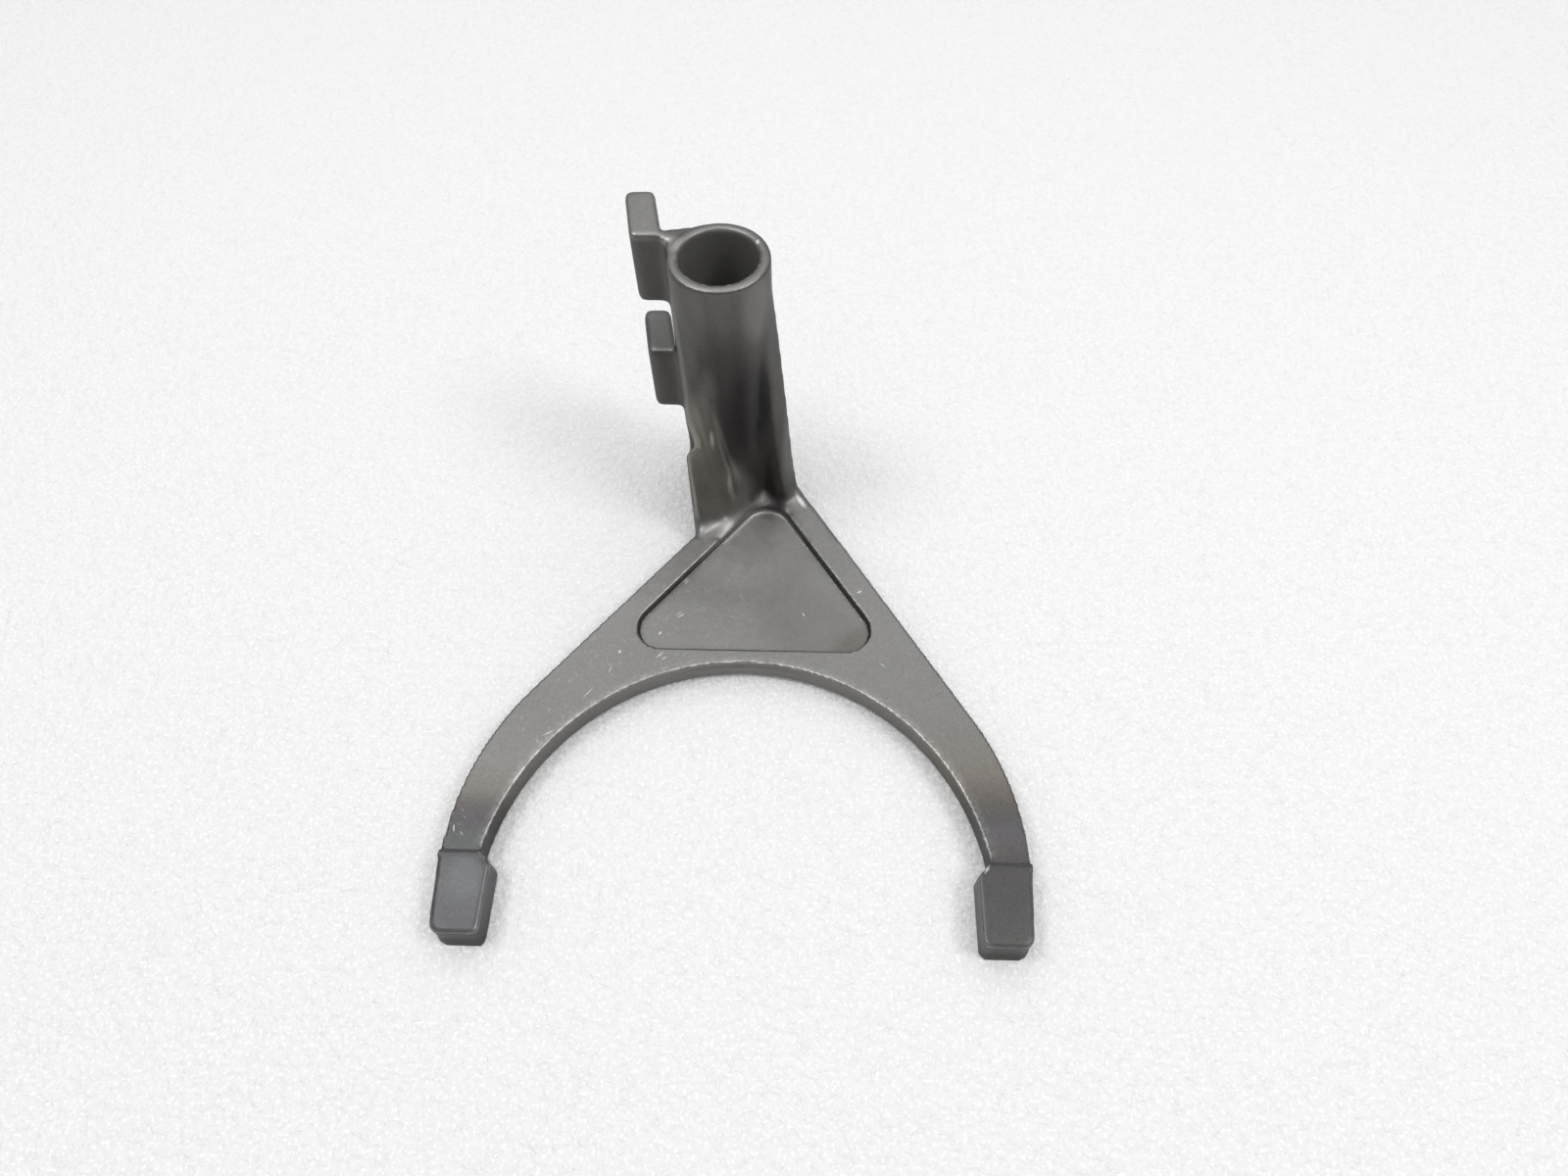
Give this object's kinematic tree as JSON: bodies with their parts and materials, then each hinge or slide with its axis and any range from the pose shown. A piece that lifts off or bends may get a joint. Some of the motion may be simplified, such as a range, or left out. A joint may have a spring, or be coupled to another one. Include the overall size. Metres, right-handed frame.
{
  "type": "shift fork",
  "caption": "Cast shift fork with an upright rail tube, a recessed triangular neck, curved arms ending in thicker pads, and a slotted selector jaw.",
  "frame": {"origin": "centre of the rail bore at the face that the fork rests on", "axes": "+Z along the rail bore, away from the fork plate; the arms reach out along -Y; +X to the right, away from the selector jaw"},
  "size_m": [0.145, 0.1672, 0.0882],
  "materials": {
    "cast_steel": "satin"
  },
  "bodies": {
    "root": {"shift_fork": "cast_steel"}
  },
  "joints": []
}
